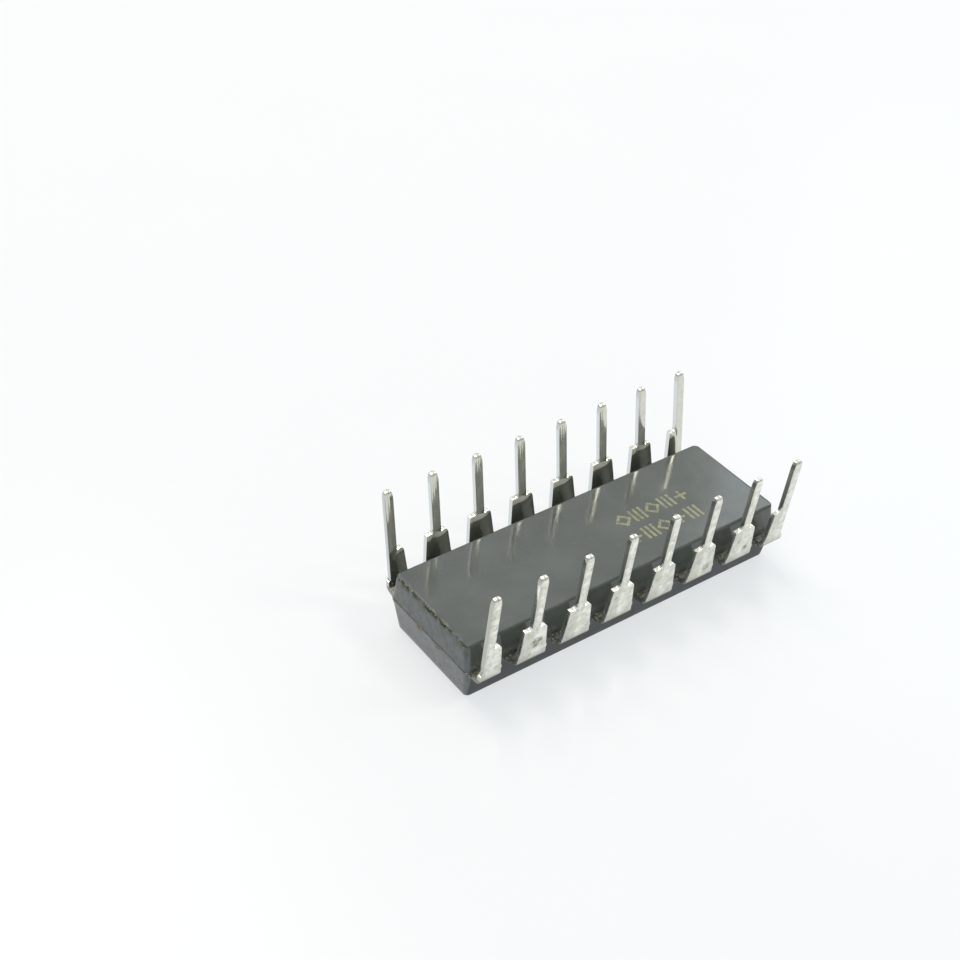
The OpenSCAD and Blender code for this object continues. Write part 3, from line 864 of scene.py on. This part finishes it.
CRUMBS_EACH = 3
STRIP_TOP = 1.785
CORNER_CHIP = Vector((-9.36, -3.08, 1.80))
crumb_spots = [(CORNER_CHIP, 0.07)]
for number, (left, _, _) in root_edges.items():
    row_side = -1 if number <= LEADS // 2 else 1
    for crumb in range(CRUMBS_EACH):
        seed = number * 7.3 + crumb * 2.1
        drift = noise.noise(Vector((seed, 0.3, 0.7)))
        size = 0.05 + 0.06 * abs(noise.noise(Vector((seed, 5.1, 2.2))))
        along = left + 0.06 + 0.22 * crumb + 0.15 * drift
        spot = Vector((along, row_side * (3.2 + 0.05 * crumb), STRIP_TOP + 0.01))
        crumb_spots.append((spot, size))
for spot, size in crumb_spots:
    made = bmesh.ops.create_icosphere(
        left_over, subdivisions=2, radius=1.0, matrix=Matrix.Translation(spot)
    )["verts"]
    for point in made:
        away = point.co - spot
        lump = 1 + 0.5 * ripple(away + spot * 3, 0.9, 4)
        away = Vector((away.x * 1.6, away.y * 0.9, away.z * 0.8)) * size * lump
        point.co = spot + away
bmesh.ops.scale(left_over, vec=(MM, MM, MM), verts=left_over.verts)
flash = make_piece(left_over, "resin_flash", resin_finish)
print("resin flash faces:", len(flash.data.polygons), "block points:", block_points)
print("crumbs:", len(crumb_spots))

# %% [markdown]
# Inside the body nothing shows, but the part may be opened or shown as an exploded view. The die pad
# is copper alloy with thin silver plating, the die a dark iridescent slab with its printed circuits,
# held by silver-filled glue, and the wires are pure gold. Their CAD shapes are right and stay.

# %% Finishes of what is inside
pad_finish = Finish("silvered_copper_alloy")
m = pad_finish
x, y, z = m.axes()
thin = m.between(m.grain(0.5, 4.0), 0.45, 0.62)
silvered = m.blend(thin, paint(214, 208, 196), paint(204, 150, 112))
cut_end = m.between(m.sum("ABSOLUTE", x), 9.38 * MM, 9.42 * MM)
flecks = m.between(m.grain(0.09, 2.0), 0.55, 0.63)
sheared = m.blend(flecks, paint(92, 96, 92), paint(196, 132, 88))
pad_rough = m.between(m.grain(0.2, 3.0), 0.3, 0.7, 0.28, 0.45)
m.set(
    Base_Color=m.blend(cut_end, silvered, sheared),
    Metallic=m.between(cut_end, 0.0, 1.0, 1.0, 0.3),
    Roughness=m.sum("ADD", pad_rough, m.sum("MULTIPLY", cut_end, 0.2)),
)
m.relief(m.grain(0.05, 2.0, m.stretched(0.1, 1.0, 1.0)), 0.004, 0.5)

glue_finish = Finish("silver_filled_glue")
m = glue_finish
flake = m.between(m.grain(0.03, 2.0), 0.5, 0.6)
m.set(
    Base_Color=m.blend(flake, paint(150, 150, 152), paint(220, 222, 224)),
    Metallic=m.between(flake, 0.0, 1.0, 0.2, 0.9),
    Roughness=m.between(m.grain(0.1), 0.3, 0.7, 0.35, 0.55),
)
m.relief(m.grain(0.04), 0.004, 0.6)

gold_finish = Finish("bond_wire_gold")
m = gold_finish
m.set(
    Base_Color=m.blend(m.grain(0.2), paint(250, 200, 92), paint(255, 220, 130)),
    Metallic=1.0,
    Roughness=m.between(m.grain(0.04, 2.0), 0.3, 0.7, 0.16, 0.30),
)
m.relief(m.grain(0.02), 0.001, 0.4)
print("finishes inside:", [f.material.name for f in (pad_finish, glue_finish, gold_finish)])

# %% Silicon with its blocks of circuit
silicon_finish = Finish("patterned_silicon")
m = silicon_finish
blocks = m.add("ShaderNodeTexBrick", offset=0.37, squash=1.6)
m.plug(m.place, blocks.inputs["Vector"])
blocks.inputs["Color1"].default_value = paint(76, 84, 118)
blocks.inputs["Color2"].default_value = paint(112, 92, 118)
blocks.inputs["Mortar"].default_value = paint(186, 180, 150)
blocks.inputs["Scale"].default_value = 1 / (1.0 * MM)
blocks.inputs["Mortar Size"].default_value = 0.01
tracks = m.grain(0.02, 1.0, m.stretched(0.2, 1.0, 1.0))
etched = m.between(tracks, 0.55, 0.6, 0.0, 0.5)
m.set(
    Base_Color=m.blend(etched, blocks.outputs["Color"], paint(158, 160, 166)),
    Metallic=0.4,
    Roughness=m.between(m.grain(0.3), 0.3, 0.7, 0.12, 0.22),
)
m.relief(tracks, 0.001, 0.3)

inside = {"die_pad": pad_finish, "die_attach": glue_finish, "die": silicon_finish}
for number in range(1, LEADS + 1):
    inside[f"wire_{number:02d}"] = gold_finish
for name, finish in inside.items():
    for slot in frame["nodes"][name].material_slots:
        slot.material = finish.material
print("CAD nodes dressed:", len(inside))
